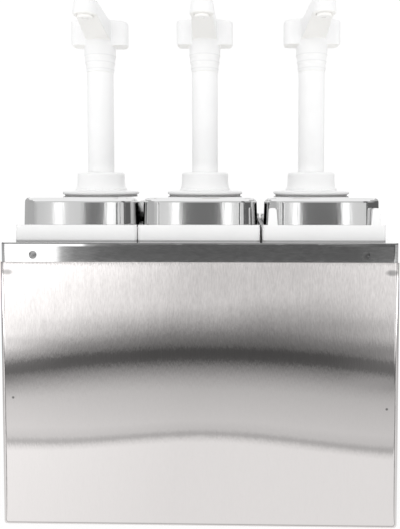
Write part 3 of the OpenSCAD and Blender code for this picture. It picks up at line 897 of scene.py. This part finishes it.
def table_gain(x, ahead):
    """How much brighter than its middle the table is towards its ends, far out and close by."""
    left_gain = (-0.10 - x).most(0) * 2.0
    right_gain = (x - 0.25).most(0) * 1.1
    shade = 0.18 * x.ease(-0.02, 0.09) * x.ease(0.45, 0.20) * ahead.ease(1.0, 0.75)
    near_left = (-0.03 - x).most(0) * 0.9
    far_part = ahead.ease(0.40, 0.70)
    edge_part = ahead.ease(0.36, 0.42) * ahead.ease(0.68, 0.54)
    edge_gain = (-0.12 - x).most(0) * 2.4 + (x - 0.10).most(0) * 2.0
    left_end = ahead.ease(0.33, 0.38) * ahead.ease(0.55, 0.48) * (-0.26 - x).most(0) * 9.0
    right_end = ahead.ease(0.31, 0.37) * ahead.ease(0.50, 0.42) * (x - 0.19).most(0) * 9.0
    broad_gain = far_part.between(near_left, left_gain + right_gain - shade)
    return broad_gain + edge_part * edge_gain + left_end + right_end


def table_card_finish():
    """The table in front of the box: bright close by, a dark far edge, then bright again."""
    made, tree = new_finish("table_card")
    x, y, _ = tree.axes(tree.place())
    ahead = FRONT - y
    swing = (abs(x) - HALF_WIDTH) / ahead
    in_front = swing.ease(2.6, 1.7)
    corner_line = swing.ease(0.55, 0.85) * swing.ease(1.45, 1.25)
    # painted contact shadow along the box's foot, seen in the sheet's reflection
    foot_painted_shadow = ahead.ease(0.0035, 0.0012)
    tone = tree.ramp(TABLE_TONES, bowed_reach(x, ahead), 0.0, TABLE_REACH)
    edged = tree.tint(0.75 * corner_line, tone, grey(0.12))
    lit = tree.tint(swing.ease(1.35, 1.6), edged, grey(1.05))
    footed = tree.tint(0.65 * foot_painted_shadow, lit, grey(0.3))
    whole = tree.tint(in_front, side_tone(tree, x, y), footed)
    close_glow(tree, whole, 1 + in_front * table_gain(x, ahead))
    return made


floor_corners = level_corners(-FLOOR_HALF, FLOOR_HALF, -FLOOR_HALF, FLOOR_HALF, FLOOR_TOP)
stage_plane("floor", floor_corners, floor_finish())
table_corners = level_corners(-TABLE_HALF, TABLE_HALF, FAR, TABLE_FRONT, TABLE_TOP)
mirror_card("table_card", table_corners, table_card_finish())
for name, x0, x1, y, z0, z1, tones in FAR_CARDS:
    upright_card(name, x0, x1, y, z0, z1, ramp_card_finish(name, tones))
for number, (x0, x1, level) in enumerate(FAR_POSTS):
    name = f"far_post_{number}"
    upright_card(name, x0, x1, FAR, EDGE_TOP, WALL_TOP, even_card_finish(name, level))
right_post = even_card_finish("right_post", RIGHT_LEVEL)
upright_card("right_post", WALL_RIGHT, SIDE_WALL, FAR_POST, POST_FOOT, WALL_TOP, right_post)
left_post = ramp_card_finish("left_post", LEFT_POST_TONES, start=-1.5, end=-0.9)
upright_card("left_post", -SIDE_WALL, WALL_LEFT, FAR_POST, POST_FOOT, WALL_TOP, left_post)
for name, x, level in (("left_card", -SIDE_WALL, LEFT_LEVEL), ("right_card", SIDE_WALL, RIGHT_LEVEL)):
    finish = side_card_finish(name, level)
    side_card(name, x, FAR, SIDE_STEP, SIDE_TOP, finish)
    side_card(f"{name}_low", x, SIDE_STEP, SIDE_END, SIDE_LOW_TOP, finish)
side_table = side_table_finish()
for name, x0, x1, y0, y1 in (
    ("left_table", -TABLE_HALF, -TABLE_SIDE, TABLE_FRONT, TABLE_BACK),
    ("right_table", TABLE_SIDE, TABLE_HALF, TABLE_FRONT, TABLE_BACK),
    ("back_table", -TABLE_HALF, TABLE_HALF, TABLE_BACK, TABLE_END),
):
    mirror_card(name, level_corners(x0, x1, y0, y1, TABLE_TOP), side_table)


# Light and camera

SEEN_WHITE = 1.02


def light_world():
    """Even light all round, less from overhead and behind. It is white where it is seen straight."""
    world = bpy.data.worlds.new("studio")
    scene.world = world
    world.use_nodes = True
    world.node_tree.nodes.clear()
    tree = Tree(world.node_tree)
    _, y, z = tree.axes(tree.add("ShaderNodeTexCoord", out="Generated"))
    overhead = z.ease(0.10, 0.75)
    behind = y.ease(-0.1, 0.7)
    matt_before = tree.ray("Diffuse Depth").least(1)
    mirrored = tree.ray("Is Glossy Ray") * (1 - matt_before)
    matt_level = 1.12 - 0.30 * overhead - 0.18 * behind
    mirror_level = 1.25 - 0.20 * overhead
    level = mirrored.between(matt_level, mirror_level)
    straight = tree.ray("Is Camera Ray").most(tree.ray("Is Transmission Ray"))
    strength = straight.between(level, SEEN_WHITE)
    back = tree.add("ShaderNodeBackground", None, {"Color": colour(grey(1.0)), "Strength": strength})
    tree.add("ShaderNodeOutputWorld", None, {"Surface": back})


def facing_turn(direction):
    """The turn that points a lamp or a camera this way."""
    return Vector(direction).to_track_quat("-Z", "Y").to_euler()


def soft_lamp(name, place, aim, size, power):
    """A square lamp that mirrors don't show."""
    lamp = bpy.data.lights.new(name, "AREA")
    lamp.shape = "SQUARE"
    lamp.size = size
    lamp.energy = power
    made = new_object(name, lamp)
    made.location = place
    made.rotation_euler = facing_turn(Vector(aim) - Vector(place))
    made.visible_glossy = False


light_world()
soft_lamp("front_lamp", place=(-0.1, -1.7, 0.7), aim=(0, 0, 0.25), size=1.0, power=4.0)

camera = bpy.data.cameras.new("camera")
camera.lens = 36.41
camera.shift_x = -0.0550
camera.shift_y = -0.1170
camera.clip_start = 0.01
eye = new_object("camera", camera)
eye.location = (0.03525, -0.56338, 0.3006)
eye.rotation_euler = facing_turn((-0.01925, 0.99910, -0.03776))
scene.camera = eye

low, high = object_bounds()
